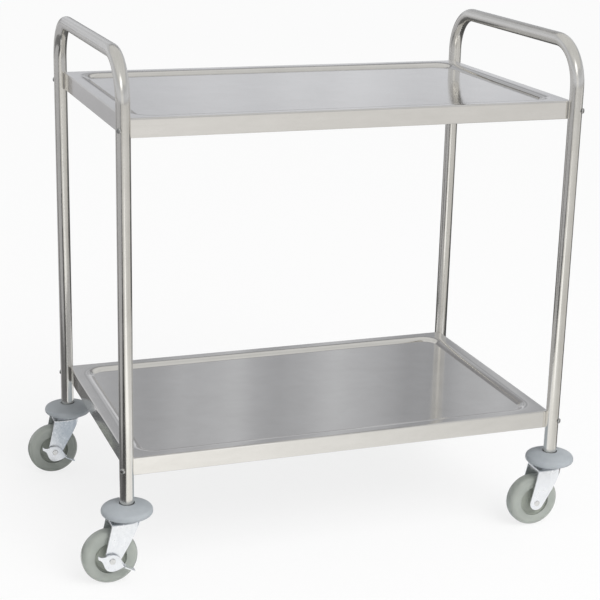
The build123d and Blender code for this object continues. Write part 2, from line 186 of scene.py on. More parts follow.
class FinishNodes(Nodes):
    """The node tree of a new material, with patterns on Object coordinates."""

    def __init__(self, name: str) -> None:
        """Start a material of this name."""
        self.material: Material = bpy.data.materials.new(name)
        super().__init__(self.material, "ShaderNodeOutputMaterial")

    def place(self, scale: Sequence[float], shift: Sequence[float] = (0, 0, 0)) -> Socket:
        """Object coordinates, scaled on each axis and then shifted.

        Args:
            scale: Factor on X, Y and Z.
            shift: Distance added on X, Y and Z.

        Returns:
            The vector socket.
        """
        coord = self.add("ShaderNodeTexCoord")
        mapping = self.add("ShaderNodeMapping")
        mapping.inputs["Scale"].default_value = tuple(scale)
        mapping.inputs["Location"].default_value = tuple(shift)
        self.link(coord.outputs["Object"], mapping.inputs["Vector"])
        return mapping.outputs["Vector"]

    def noise(self, grain: Grain) -> Socket:
        """A noise value over the piece.

        Args:
            grain: The pattern.

        Returns:
            The value socket, from 0 to 1.
        """
        node = self.add("ShaderNodeTexNoise")
        node.inputs["Scale"].default_value = grain.size
        node.inputs["Detail"].default_value = grain.detail
        node.inputs["Roughness"].default_value = grain.fineness
        self.link(self.place(grain.stretch), node.inputs["Vector"])
        return node.outputs["Fac"]

    def nearness(self, focus: Triple, reach: float) -> Socket:
        """A value that falls evenly from 1 at a point to 0 at a distance from it.

        Args:
            focus: The point.
            reach: The distance.

        Returns:
            The value socket.
        """
        ball = self.add("ShaderNodeTexGradient", gradient_type="SPHERICAL")
        shift = [-value / reach for value in focus]
        self.link(self.place([1 / reach] * 3, shift), ball.inputs["Vector"])
        return ball.outputs["Fac"]

    def spread(self, source: Socket, low: float, high: float, span: Span = NOISE_SPAN) -> Socket:
        """Carry a value from one range to another.

        Args:
            source: Value to carry.
            low: Result at the start of the source's range.
            high: Result at the end of the source's range.
            span: The source's range.

        Returns:
            The result socket.
        """
        node = self.add("ShaderNodeMapRange")
        node.inputs["From Min"].default_value = span[0]
        node.inputs["From Max"].default_value = span[1]
        node.inputs["To Min"].default_value = low
        node.inputs["To Max"].default_value = high
        self.link(source, node.inputs["Value"])
        return node.outputs["Result"]

    def tint(self, source: Socket, dark: Triple, light: Triple) -> Socket:
        """Colour that runs from dark to light over a noise's range.

        Args:
            source: Value from 0 to 1.
            dark: Colour at the start of the range.
            light: Colour at the end of the range.

        Returns:
            The colour socket.
        """
        ramp = self.add("ShaderNodeValToRGB")
        for element, position, colour in zip(ramp.color_ramp.elements, NOISE_SPAN, (dark, light)):
            element.position = position
            element.color = (*colour, 1.0)
        self.link(source, ramp.inputs["Fac"])
        return ramp.outputs["Color"]

    def bump(self, source: Socket, strength: float, height: float) -> Socket:
        """Surface normal raised by a value.

        Args:
            source: Height value.
            strength: Strength of the bump.
            height: Height of the bump in metres.

        Returns:
            The normal socket.
        """
        node = self.add("ShaderNodeBump")
        node.inputs["Strength"].default_value = strength
        node.inputs["Distance"].default_value = height
        self.link(source, node.inputs["Height"])
        return node.outputs["Normal"]

    def surface(self, metallic: float, tone: Socket, rough: Socket, relief: Socket | None = None) -> None:
        """The material's main shader, linked to the output.

        Args:
            metallic: 1 for bare metal, 0 for rubber and plastic.
            tone: Its colour.
            rough: Its roughness.
            relief: Its raised normal, where it has one.
        """
        shader = self.add("ShaderNodeBsdfPrincipled")
        shader.inputs["Metallic"].default_value = metallic
        self.link(tone, shader.inputs["Base Color"])
        self.link(rough, shader.inputs["Roughness"])
        if relief is not None:
            self.link(relief, shader.inputs["Normal"])
        self.link(shader.outputs["BSDF"], self.output.inputs["Surface"])


@dataclass(frozen=True)
class PolishedTube:
    """Polished stainless tube: bright, with faint polishing haze."""

    name: str = "polished_tube"
    dark: Triple = (0.72, 0.705, 0.67)
    light: Triple = (0.78, 0.765, 0.73)
    rough: Span = (0.15, 0.22)
    cloud: Grain = Grain(18.0)
    haze: Grain = Grain(240.0, stretch=(1, 1, 8), detail=2.0)
    relief: Span = (0.012, 0.2 * MM)

    def make(self) -> Material:
        """A soft cloud in the colour and the roughness, and a fine haze in the relief.

        Returns:
            The material.
        """
        nodes = FinishNodes(self.name)
        cloud = nodes.noise(self.cloud)
        tone = nodes.tint(cloud, self.dark, self.light)
        relief = nodes.bump(nodes.noise(self.haze), *self.relief)
        nodes.surface(1.0, tone, nodes.spread(cloud, *self.rough), relief)
        return nodes.material


@dataclass(frozen=True)
class BrushedSheet:
    """Brushed stainless sheet with fine streaks along the tray and a faint mottle."""

    name: str = "brushed_sheet"
    dark: Triple = (0.761, 0.746, 0.72)
    light: Triple = (0.803, 0.788, 0.764)
    rough: Span = (0.07, 0.13)
    mottle: Grain = Grain(26.0, stretch=(0.7, 0.7, 2), detail=5.0, fineness=0.6)
    streak: Grain = Grain(1.0, stretch=(4, 1100, 1100), detail=2.0, fineness=0.6)
    relief: Span = (0.10, 0.1 * MM)

    def make(self) -> Material:
        """A mottle in the colour, and streaks stretched along X in the roughness and the relief.

        Returns:
            The material.
        """
        nodes = FinishNodes(self.name)
        streak = nodes.noise(self.streak)
        tone = nodes.tint(nodes.noise(self.mottle), self.dark, self.light)
        nodes.surface(1.0, tone, nodes.spread(streak, *self.rough), nodes.bump(streak, *self.relief))
        return nodes.material


@dataclass(frozen=True)
class ZincPlate:
    """Bright zinc-plated pressed steel, bluish and slightly mottled."""

    name: str = "zinc_plate"
    dark: Triple = (0.82, 0.84, 0.865)
    light: Triple = (0.90, 0.915, 0.935)
    metallic: float = 0.9
    rough: Span = (0.18, 0.28)
    blotch: Grain = Grain(140.0, detail=4.0)
    relief: Span = (0.05, 0.2 * MM)

    def make(self) -> Material:
        """One blotchy pattern in the colour, the satin roughness and the relief.

        Returns:
            The material.
        """
        nodes = FinishNodes(self.name)
        blotch = nodes.noise(self.blotch)
        tone = nodes.tint(blotch, self.dark, self.light)
        rough = nodes.spread(blotch, *self.rough)
        nodes.surface(self.metallic, tone, rough, nodes.bump(blotch, *self.relief))
        return nodes.material


@dataclass(frozen=True)
class BrightFastener:
    """Bright stainless of screws, nuts and balls."""

    name: str = "bright_fastener"
    dark: Triple = (0.66, 0.66, 0.65)
    light: Triple = (0.78, 0.78, 0.77)
    rough: Span = (0.14, 0.28)
    cloud: Grain = Grain(300.0)

    def make(self) -> Material:
        """A fine cloud in the colour and the roughness.

        Returns:
            The material.
        """
        nodes = FinishNodes(self.name)
        cloud = nodes.noise(self.cloud)
        nodes.surface(1.0, nodes.tint(cloud, self.dark, self.light), nodes.spread(cloud, *self.rough))
        return nodes.material


@dataclass(frozen=True)
class MouldedGrey:
    """Moulded rubber or plastic with a fine grain and a soft cloud of tone."""

    name: str
    dark: Triple
    light: Triple
    rough: Span
    cloud: Grain = Grain(30.0)
    grain: Grain = Grain(900.0, detail=2.0)
    relief: Span = (0.12, 0.2 * MM)

    def make(self) -> Material:
        """A faint cloud in the colour, and a grain in the roughness and the relief.

        Returns:
            The material.
        """
        nodes = FinishNodes(self.name)
        grain = nodes.noise(self.grain)
        tone = nodes.tint(nodes.noise(self.cloud), self.dark, self.light)
        nodes.surface(0.0, tone, nodes.spread(grain, *self.rough), nodes.bump(grain, *self.relief))
        return nodes.material


# Screw steel is a darker copy of the bright fastener: painted shade that stands in for the dark recesses
# and outlines of the screw heads.
SHADED_SCREW_STEEL = BrightFastener("screw_steel", (0.40, 0.40, 0.39), (0.52, 0.52, 0.51))
BUMPER_RUBBER = MouldedGrey("bumper_rubber", (0.37, 0.40, 0.425), (0.42, 0.45, 0.475), (0.38, 0.52))
TYRE_RUBBER = MouldedGrey("tyre_rubber", (0.35, 0.375, 0.344), (0.395, 0.42, 0.386), (0.11, 0.16))
HUB_PLASTIC = MouldedGrey("hub_plastic", (0.31, 0.335, 0.295), (0.36, 0.385, 0.34), (0.40, 0.55))
PLUG_PLASTIC = MouldedGrey("plug_plastic", (0.02, 0.02, 0.02), (0.035, 0.035, 0.035), (0.45, 0.6))


@dataclass
class Finishes:
    """Every finish on the trolley, made once and shared."""

    tube: Material = field(default_factory=PolishedTube().make)
    sheet: Material = field(default_factory=BrushedSheet().make)
    zinc: Material = field(default_factory=ZincPlate().make)
    fastener: Material = field(default_factory=BrightFastener().make)
    screw: Material = field(default_factory=SHADED_SCREW_STEEL.make)
    bumper: Material = field(default_factory=BUMPER_RUBBER.make)
    tyre: Material = field(default_factory=TYRE_RUBBER.make)
    hub: Material = field(default_factory=HUB_PLASTIC.make)
    plug: Material = field(default_factory=PLUG_PLASTIC.make)


def grid_quads(rows: int, cols: int, wrap_rows: bool, wrap_cols: bool) -> np.ndarray:
    """Corner indices of the quads of a grid of vertices.

    Args:
        rows: Number of rows of vertices.
        cols: Number of vertices in a row.
        wrap_rows: True where the last row joins the first.
        wrap_cols: True where a row closes on itself.

    Returns:
        Array of four indices a quad.
    """
    i = np.arange(rows if wrap_rows else rows - 1)[:, None]
    j = np.arange(cols if wrap_cols else cols - 1)[None, :]
    i2, j2 = (i + 1) % rows, (j + 1) % cols
    quads = np.stack(np.broadcast_arrays(i * cols + j, i * cols + j2, i2 * cols + j2, i2 * cols + j), -1)
    return quads.reshape(-1, 4)


def mesh_piece(
    name: str, points: np.ndarray, faces: list[list[int]], crease: float = 40.0
) -> bpy.types.Object:
    """Make an object at the origin from vertices and faces.

    Args:
        name: Name of the piece.
        points: Vertices in metres, in the trolley's frame.
        faces: Vertex indices of each face.
        crease: Edges turning by more than this many degrees stay sharp.

    Returns:
        The new object, linked to the scene.
    """
    mesh = bpy.data.meshes.new(name)
    mesh.from_pydata(points.tolist(), [], faces)
    mesh.validate()
    mesh.shade_smooth()
    mesh.set_sharp_from_angle(angle=math.radians(crease))
    piece = bpy.data.objects.new(name, mesh)
    bpy.context.scene.collection.objects.link(piece)
    return piece


def rounded_path(points: Sequence[Triple], steps: int, closed: bool = True) -> np.ndarray:
    """Flat path with each corner turned into an arc.

    An arc of radius r at a corner of turn t starts and ends r tan(t / 2) from the corner and is
    walked in equal angles about its centre.

    Args:
        points: Corners as (x, y, radius).
        steps: Pieces in each arc.
        closed: True where the last corner joins the first.

    Returns:
        Array of (x, y) points.
    """
    xy = np.array([p[:2] for p in points], float)
    count = len(xy)
    parts: list[np.ndarray] = []
    for k in range(count):
        radius = points[k][2]
        if (not closed and k in (0, count - 1)) or radius <= 0:
            parts.append(xy[k][None, :])
            continue
        back, ahead = xy[k - 1] - xy[k], xy[(k + 1) % count] - xy[k]
        back, ahead = back / np.linalg.norm(back), ahead / np.linalg.norm(ahead)
        half = math.acos(float(np.clip(back @ ahead, -1, 1))) / 2
        middle = (back + ahead) / np.linalg.norm(back + ahead)
        centre = xy[k] + middle * radius / math.sin(half)
        reach = radius / math.tan(half)
        start, end = xy[k] + back * reach - centre, xy[k] + ahead * reach - centre
        sweep = math.atan2(start[0] * end[1] - start[1] * end[0], float(start @ end))
        turn = np.linspace(0, sweep, steps + 1)
        arc = np.stack([
            start[0] * np.cos(turn) - start[1] * np.sin(turn),
            start[0] * np.sin(turn) + start[1] * np.cos(turn),
        ], -1)
        parts.append(centre + arc)
    return np.concatenate(parts)


def mirrored_path(upper: Sequence[Triple], steps: int) -> np.ndarray:
    """Closed rounded path from its upper half, with (x, y) repeated at (x, -y).

    Args:
        upper: Corners of the upper half as (x, y, radius).
        steps: Pieces in each arc.

    Returns:
        Array of (x, y) points.
    """
    lower = [(x, -y, radius) for x, y, radius in reversed(upper)]
    return rounded_path([*upper, *lower], steps)


def turned(name: str, profile: np.ndarray, origin: Triple, axis: Triple, turns: int) -> bpy.types.Object:
    """Closed ring turned from a closed profile.

    A profile point (r, h) goes to origin + r (u cos a + v sin a) + h w, with w along the axis and
    u, v square to it, for the angle a round the axis.

    Args:
        name: Name of the piece.
        profile: Closed profile of (radius, height) in metres.
        origin: Point on the axis at height 0.
        axis: Direction of the axis, of length 1 and square to X.
        turns: Steps round the axis.

    Returns:
        The new piece.
    """
    w = np.array(axis, float)
    u = np.cross(w, (1.0, 0.0, 0.0))
    v = np.cross(w, u)
    following = np.roll(profile, -1, axis=0)
    area = np.sum(profile[:, 0] * following[:, 1] - following[:, 0] * profile[:, 1])
    ring = profile if area > 0 else profile[::-1]
    angle = np.linspace(0, 2 * math.pi, turns, endpoint=False)
    around = np.cos(angle)[:, None] * u + np.sin(angle)[:, None] * v
    points = np.array(origin) + ring[:, 0][:, None, None] * around + ring[:, 1][:, None, None] * w
    quads = grid_quads(len(ring), turns, True, True)[:, ::-1]
    return mesh_piece(name, points.reshape(-1, 3), quads.tolist())


def refinish(node: str, material: Material) -> None:
    """Give a CAD node a better material.

    Args:
        node: Name of the CAD node.
        material: Finish of the whole node.
    """
    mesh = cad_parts[node].data
    mesh.materials.clear()
    mesh.materials.append(material)
    LOG.info("%s is dressed in %s", node, material.name)


def install(piece: bpy.types.Object, body: str, node: str, material: Material) -> None:
    """Put a new piece in place of a CAD node.

    Args:
        piece: The new piece.
        body: CAD body that it moves with.
        node: CAD node that it stands for.
        material: Finish of the piece.
    """
    piece.data.materials.append(material)
    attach(piece, body)
    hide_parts(node)
    LOG.info("%s stands for %s", piece.name, node)


@dataclass
class EndFrame:
    """One tube end frame: two posts and a handle bar, bent from one tube."""

    end: End
    finishes: Finishes
    tube_radius: float = 12.5 * MM
    wall: float = 1.2 * MM
    bend_radius: float = 78.0 * MM
    bend_steps: int = 28
    turns: int = 48
    crease: float = 60.0

    def route(self) -> tuple[float, np.ndarray]:
        """Middle line of the tube: up the front post, along the bar and down the rear post.

        Returns:
            Its X, and its (Y, Z) points.
        """
        low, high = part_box(f"{self.end.value}_end_frame")
        front, rear = low.y + self.tube_radius, high.y - self.tube_radius
        bar = high.z - self.tube_radius
        corners = [
            (front, low.z, 0),
            (front, bar, self.bend_radius),
            (rear, bar, self.bend_radius),
            (rear, low.z, 0),
        ]
        return (low.x + high.x) / 2, rounded_path(corners, self.bend_steps, closed=False)

    def build(self) -> bpy.types.Object:
        """Sweep a ring along the middle line, outer wall out and inner wall back.

        A point of the wall is line + r (n cos a + x sin a), with n square to the line in its plane
        and x along the trolley.

        Returns:
            The tube.
        """
        x, line = self.route()
        ahead = np.gradient(line, axis=0)
        ahead /= np.linalg.norm(ahead, axis=1)[:, None]
        normal = np.stack([-ahead[:, 1], ahead[:, 0]], -1)
        angle = np.linspace(0, 2 * math.pi, self.turns, endpoint=False)
        walls = []
        for radius, order in ((self.tube_radius, 1), (self.tube_radius - self.wall, -1)):
            flat = line[:, None, :] + radius * np.cos(angle)[None, :, None] * normal[:, None, :]
            side = np.broadcast_to(x + radius * np.sin(angle)[None, :], flat.shape[:2])
            walls.append(np.concatenate([side[..., None], flat], -1)[::order])
        points = np.concatenate(walls)
        quads = grid_quads(len(points), self.turns, True, True)
        name = f"{self.end.value}_end_tube"
        return mesh_piece(name, points.reshape(-1, 3), quads.tolist(), self.crease)

    def dress(self) -> None:
        """Build the tube and put it in place of its CAD node."""
        node = f"{self.end.value}_end_frame"
        install(self.build(), FRAME_BODY, node, self.finishes.tube)


@dataclass
class Tray:
    """One pressed tray: floor, sloped rim, flange with a turned-in lip, hollowed corners.

    The guards are the distances beside a bend at which the sheet is flat again.
    """

    tier: Tier
    finishes: Finishes
    sheet: float = 1.0 * MM
    depth: float = 6.0 * MM
    rim_flat: float = 15.0 * MM
    rim_slope: float = 22.0 * MM
    slope_angle: float = 30.0
    lip: float = 11.0 * MM
    post_inset: float = 5.0 * MM
    nest_radius: float = 12.7 * MM
    nest_share: float = 0.9
    floor_corner: float = 26.0 * MM
    least_corner: float = 4.0 * MM
    floor_inset: float = 200.0 * MM
    brow_radius: float = 40.0 * MM
    foot_radius: float = 1.5 * MM
    brim_radius: float = 1.8 * MM
    hem_radius: float = 1.2 * MM
    inner_radius: float = 0.8 * MM
    edge_radius: float = 0.3 * MM
    foot_guard: float = 3.0 * MM
    brim_guard: float = 4.0 * MM
    hem_guard: float = 2.5 * MM
    inner_guard: float = 1.5 * MM
    bend_steps: int = 10
    side_steps: int = 10
    corner_steps: int = 14

    def corner_curve(self, half: np.ndarray, inset: float) -> np.ndarray:
        """Corner of one ring in the quarter where X and Y are positive.

        Near the outside the corner is a hollow arc round the post; further in it is a round corner
        whose radius shrinks as the ring moves in.

        Args:
            half: Half sizes of the tray.
            inset: Distance of the ring from the tray's outside.

        Returns:
            Points from the right side to the rear side.
        """
        hx, hy = half - inset
        if inset < self.rim_flat * self.nest_share:
            centre = half + self.post_inset
            radius = self.nest_radius + inset
            low = math.atan2(-math.sqrt(radius**2 - (centre[0] - hx) ** 2), hx - centre[0])
            high = math.atan2(hy - centre[1], -math.sqrt(radius**2 - (centre[1] - hy) ** 2))
        else:
            radius = max(self.floor_corner + self.rim_flat + self.rim_slope - inset, self.least_corner)
            centre = np.array([hx - radius, hy - radius])
            low, high = 0.0, math.pi / 2
        turn = np.linspace(low, high, self.corner_steps)
        return centre + radius * np.stack([np.cos(turn), np.sin(turn)], -1)

    def ring(self, half: np.ndarray, inset: float) -> np.ndarray:
        """One closed ring of the tray, walked the same way at every inset.

        Args:
            half: Half sizes of the tray.
            inset: Distance of the ring from the tray's outside.

        Returns:
            Points of the ring about the tray's middle.
        """
        quarter = self.corner_curve(half, inset)
        quarters = [
            quarter,
            (quarter * (-1, 1))[::-1],
            quarter * (-1, -1),
            (quarter * (1, -1))[::-1],
        ]
        step = np.linspace(0, 1, self.side_steps + 2)[1:-1, None]
        parts = []
        for k, corner in enumerate(quarters):
            start, end = corner[-1], quarters[(k + 1) % len(quarters)][0]
            parts += [corner, start + (end - start) * step]
        return np.concatenate(parts)

    def section(self, flange: float) -> np.ndarray:
        """Section of the sheet as (inset, height) from the floor's top out, down and back underneath.

        Args:
            flange: Height of the flange.

        Returns:
            Array of (inset, height) points.
        """
        t = self.sheet
        foot = self.rim_flat + self.rim_slope
        brow = foot - self.depth / math.tan(math.radians(self.slope_angle))
        corners = [
            (self.floor_inset, -self.depth, 0),
            (foot + self.foot_guard, -self.depth, 0),
            (foot, -self.depth, self.foot_radius),
            (brow, 0, self.brow_radius),
            (self.brim_guard, 0, 0),
            (0, 0, self.brim_radius),
            (0, -self.brim_guard, 0),
            (0, self.hem_guard - flange, 0),
            (0, -flange, self.hem_radius),
            (self.hem_guard, -flange, 0),
            (self.lip, -flange, self.edge_radius),
            (self.lip, t - flange, self.edge_radius),
            (t + self.inner_guard, t - flange, 0),
            (t, t - flange, self.edge_radius),
            (t, -t, self.inner_radius),
            (brow, -t, self.brow_radius),
            (foot, -self.depth - t, self.foot_radius),
            (self.floor_inset, -self.depth - t, 0),
        ]
        return rounded_path(corners, self.bend_steps, closed=False)

    def build(self) -> bpy.types.Object:
        """Stack the rings of the section and close the floor at its middle, above and below.

        A point of the section (inset, height) becomes the ring at that inset, at that height under
        the tray's top, and a fan of triangles joins the first and the last ring to the middle.

        Returns:
            The tray.
        """
        low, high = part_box(f"{self.tier.value}_tray")
        middle = np.array([(low.x + high.x) / 2, (low.y + high.y) / 2])
        half = np.array([high.x - low.x, high.y - low.y]) / 2
        section = self.section(high.z - low.z)
        rings = np.stack([self.ring(half, inset) for inset in section[:, 0]])
        heights = np.broadcast_to(section[:, 1][:, None, None], (*rings.shape[:2], 1))
        points = np.concatenate([rings + middle, heights + high.z], -1)
        rows, cols = points.shape[:2]
        floor = high.z - self.depth
        poles = np.array([[*middle, floor], [*middle, floor - self.sheet]])
        faces = grid_quads(rows, cols, False, True)[:, ::-1].tolist()
        here, following = np.arange(cols), (np.arange(cols) + 1) % cols
        above, below, base = rows * cols, rows * cols + 1, (rows - 1) * cols
        faces += np.stack([np.full(cols, above), here, following], -1).tolist()
        faces += np.stack([np.full(cols, below), base + following, base + here], -1).tolist()
        points = np.concatenate([points.reshape(-1, 3), poles])
        return mesh_piece(f"{self.tier.value}_pressed_tray", points, faces)

    def dress(self) -> None:
        """Build the tray, put it in place of its CAD node and dress what is fixed to it."""
        name = self.tier.value
        install(self.build(), FRAME_BODY, f"{name}_tray", self.finishes.sheet)
        refinish(f"{name}_tray_stiffener", self.finishes.sheet)
        refinish(f"{name}_tray_screws", self.finishes.screw)
        refinish(f"{name}_tray_nuts", self.finishes.fastener)


@dataclass
class Bumper:
    """Domed bumper disc under one post, with a mouth for the tube above and a hollow below."""

    corner: Corner
    finishes: Finishes
    bore: float = 5.03 * MM
    mouth: float = 13.8 * MM
    mouth_round: float = 0.8 * MM
    seat: float = 13.0 * MM
    edge_round: float = 0.3 * MM
    hollow: float = 4.0 * MM
    hollow_radius: float = 25.5 * MM
    hollow_flare: float = 1.5 * MM
    hollow_round: float = 0.6 * MM
    flare_round: float = 0.8 * MM
    skirt_round: float = 5.5 * MM
    shoulder_height: float = 0.55
    shoulder_round: float = 7.5 * MM
    crown_width: float = 0.66
    crown_height: float = 0.865
    crown_round: float = 40.0 * MM
    arc_steps: int = 10
    turns: int = 128

    def profile(self, radius: float, height: float) -> np.ndarray:
        """Section of the disc: mouth, bore, hollow, skirt, shoulder and domed crown.

        Args:
            radius: Outer radius; the crown's width is a share of it.
            height: Whole height; the shoulder's and the crown's heights are shares of it.

        Returns:
            Array of (radius, height) points.
        """
        corners = [
            (self.mouth, height, self.mouth_round),
            (self.mouth, self.seat, self.edge_round),
            (self.bore, self.seat, self.edge_round),
            (self.bore, self.hollow, self.edge_round),
            (self.hollow_radius, self.hollow, self.hollow_round),
            (self.hollow_radius + self.hollow_flare, 0, self.flare_round),
            (radius, 0, self.skirt_round),
            (radius, self.shoulder_height * height, self.shoulder_round),
            (self.crown_width * radius, self.crown_height * height, self.crown_round),
        ]
        return rounded_path(corners, self.arc_steps)

    def dress(self) -> None:
        """Turn the disc and put it in place of its CAD node."""
        node = f"bumper_{self.corner.tag}"
        low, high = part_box(node)
        profile = self.profile((high.x - low.x) / 2, high.z - low.z)
        foot = ((low.x + high.x) / 2, (low.y + high.y) / 2, low.z)
        disc = turned(f"bumper_disc_{self.corner.tag}", profile, foot, UPRIGHT, self.turns)
        install(disc, FRAME_BODY, node, self.finishes.bumper)


@dataclass
class Wheel:
    """Tyre and hub of one caster, the tyre's beads lapping the hub's rim."""

    corner: Corner
    finishes: Finishes
    shoulder_round: float = 9.6 * MM
    side_dish: float = 1.2 * MM
    bead_radius: float = 28.6 * MM
    bead_half: float = 10.0 * MM
    bead_round: float = 0.5 * MM
    fit: float = 0.05 * MM
    fit_round: float = 0.2 * MM
    hub_radius: float = 30.0 * MM
    rim_half: float = 11.0 * MM
    rim_edge_round: float = 0.3 * MM
    rim_width: float = 0.8 * MM
    rim_round: float = 0.4 * MM
    dish_width: float = 3.6 * MM
    dish_round: float = 2.0 * MM
    web: float = 8.2 * MM
    web_round: float = 3.0 * MM
    boss: float = 9.5 * MM
    boss_flare: float = 2.5 * MM
    boss_round: float = 0.8 * MM
    bore: float = 6.05 * MM
    bore_round: float = 0.4 * MM
    tyre_steps: int = 8
    tyre_turns: int = 160
    hub_steps: int = 6
    hub_turns: int = 96

    def tyre_profile(self, radius: float, half: float) -> np.ndarray:
        """Section of the tyre: flat tread, round shoulders, dished sides and beads.

        Args:
            radius: Radius of the tread.
            half: Half width of the tyre.

        Returns:
            Array of (radius, width) points.
        """
        upper = [
            (radius, half, self.shoulder_round),
            (self.bead_radius, half - self.side_dish, self.bead_round),
            (self.bead_radius, self.bead_half, self.fit_round),
            (self.hub_radius, self.bead_half, self.fit_round),
        ]
        return mirrored_path(upper, self.tyre_steps)

    def hub_profile(self, half: float) -> np.ndarray:
        """Section of the hub: rim under the tyre's beads, dished web and boss.

        Args:
            half: Half length of the boss.

        Returns:
            Array of (radius, width) points.
        """
        edge = self.bead_radius - self.fit
        seat = self.bead_half - self.fit
        upper = [
            (self.hub_radius, seat, self.fit_round),
            (edge, seat, self.fit_round),
            (edge, self.rim_half, self.rim_edge_round),
            (edge - self.rim_width, self.rim_half, self.rim_round),
            (edge - self.dish_width, self.web, self.dish_round),
            (self.boss + self.boss_flare, self.web, self.web_round),
            (self.boss, half, self.boss_round),
            (self.bore, half, self.bore_round),
        ]
        return mirrored_path(upper, self.hub_steps)

    def dress(self) -> None:
        """Turn the tyre and the hub and put them in place of their CAD nodes."""
        tag = self.corner.tag
        low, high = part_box(f"tyre_{tag}")
        middle = tuple((low + high) / 2)
        profile = self.tyre_profile((high.x - low.x) / 2, (high.y - low.y) / 2)
        tyre = turned(f"tyre_ring_{tag}", profile, middle, ALONG_AXLE, self.tyre_turns)
        install(tyre, f"wheel_{tag}", f"tyre_{tag}", self.finishes.tyre)
        low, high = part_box(f"wheel_hub_{tag}")
        profile = self.hub_profile((high.y - low.y) / 2)
        hub = turned(f"hub_disc_{tag}", profile, middle, ALONG_AXLE, self.hub_turns)
        install(hub, f"wheel_{tag}", f"wheel_hub_{tag}", self.finishes.hub)


@dataclass
class Caster:
    """One caster: bumper, swivel, fork, wheel and, on the left, the brake."""

    corner: Corner
    finishes: Finishes

    def dress(self) -> None:
        """Build and dress every piece of the caster."""
        tag = self.corner.tag
        Bumper(self.corner, self.finishes).dress()
        Wheel(self.corner, self.finishes).dress()
        zinc = ["fork"]
        bright = ["caster_stem", "upper_race", "swivel_balls", "axle", "axle_nut", "axle_bush"]
        if self.corner.braked:
            zinc.append("brake_lever")
            bright.append("brake_washer")
        for part in zinc:
            refinish(f"{part}_{tag}", self.finishes.zinc)
        for part in bright:
            refinish(f"{part}_{tag}", self.finishes.fastener)
        refinish(f"tube_plug_{tag}", self.finishes.plug)


@dataclass(frozen=True, kw_only=True)
class Tone:
    """What a card or a band shows to bright metal.

    Its tone runs from dark to light in streaks. Its strength is full at the focus and falls to the
    edge's share of it at the reach from there. Without a reach the strength is even.
    """

    name: str
    dark: Triple
    light: Triple
    streak: Triple
    strength: float = 1.0
    focus: Triple = (0, 0, 0)
    reach: float = 0.0
    edge: float = 1.0
    octaves: float = 2.0


@dataclass(frozen=True, kw_only=True)
class Card(Tone):
    """A flat card beside the set: its middle, half width and half height."""

    middle: Triple
    across: Triple
    up: Triple
    streak: Triple = (0.5, 0.5, 0.5)


@dataclass(frozen=True, kw_only=True)
class Band(Tone):
    """A band all round the set: its heights, and its radius below and above."""

    low: float
    high: float
    low_radius: float = 20.0
    high_radius: float = 20.0
    streak: Triple = (0.4, 0.4, 0.02)


WALL_STREAK: Triple = (1.1, 0.4, 0.02)
WINDOW_STREAK: Triple = (1.2, 1.2, 0.02)

# Cards over and behind the trolley
HIGH_CARDS = (
    Card(
        name="ceiling_card", middle=(0, 0, 6.0), across=(7.5, 0, 0), up=(0, 7.5, 0),
        dark=(0.62, 0.62, 0.61), light=(0.74, 0.74, 0.73),
    ),
    Card(
        name="rear_band_card", middle=(8.25, 16.5, 7.1), across=(6.15, 0, 0), up=(0, 0, 2.75),
        dark=(0.35, 0.357, 0.375), light=(0.60, 0.61, 0.635), streak=WALL_STREAK,
    ),
    Card(
        name="low_back_card", middle=(5.4, 16.4, 1.35), across=(9, 0, 0), up=(0, 0, 1.35),
        dark=(0.28, 0.28, 0.29), light=(0.40, 0.40, 0.41), streak=WALL_STREAK,
    ),
    Card(
        name="far_back_card", middle=(4.6, 16.6, 11.6), across=(7.4, 0, 0), up=(0, 0, 1.9),
        dark=(0.22, 0.22, 0.23), light=(0.34, 0.34, 0.35),
    ),
)

# Bright cards before the trolley
KEY_CARDS = (
    Card(
        name="key_strip_card", middle=(-2.0, -4.0, 4.0), across=(1.8, -0.9, 0), up=(0.75, 1.5, 1.88),
        dark=(0.97, 0.97, 0.96), light=(1.0, 1.0, 1.0),
        strength=2.6, focus=(-2.0, -4.0, 4.0), reach=1.7, edge=0.28,
    ),
    Card(
        name="window_card", middle=(-2.9, -8.0, 2.6), across=(2.1, -0.75, 0), up=(0, 0, 2.4),
        dark=(0.66, 0.66, 0.66), light=(1.0, 1.0, 0.99), streak=WINDOW_STREAK,
    ),
)

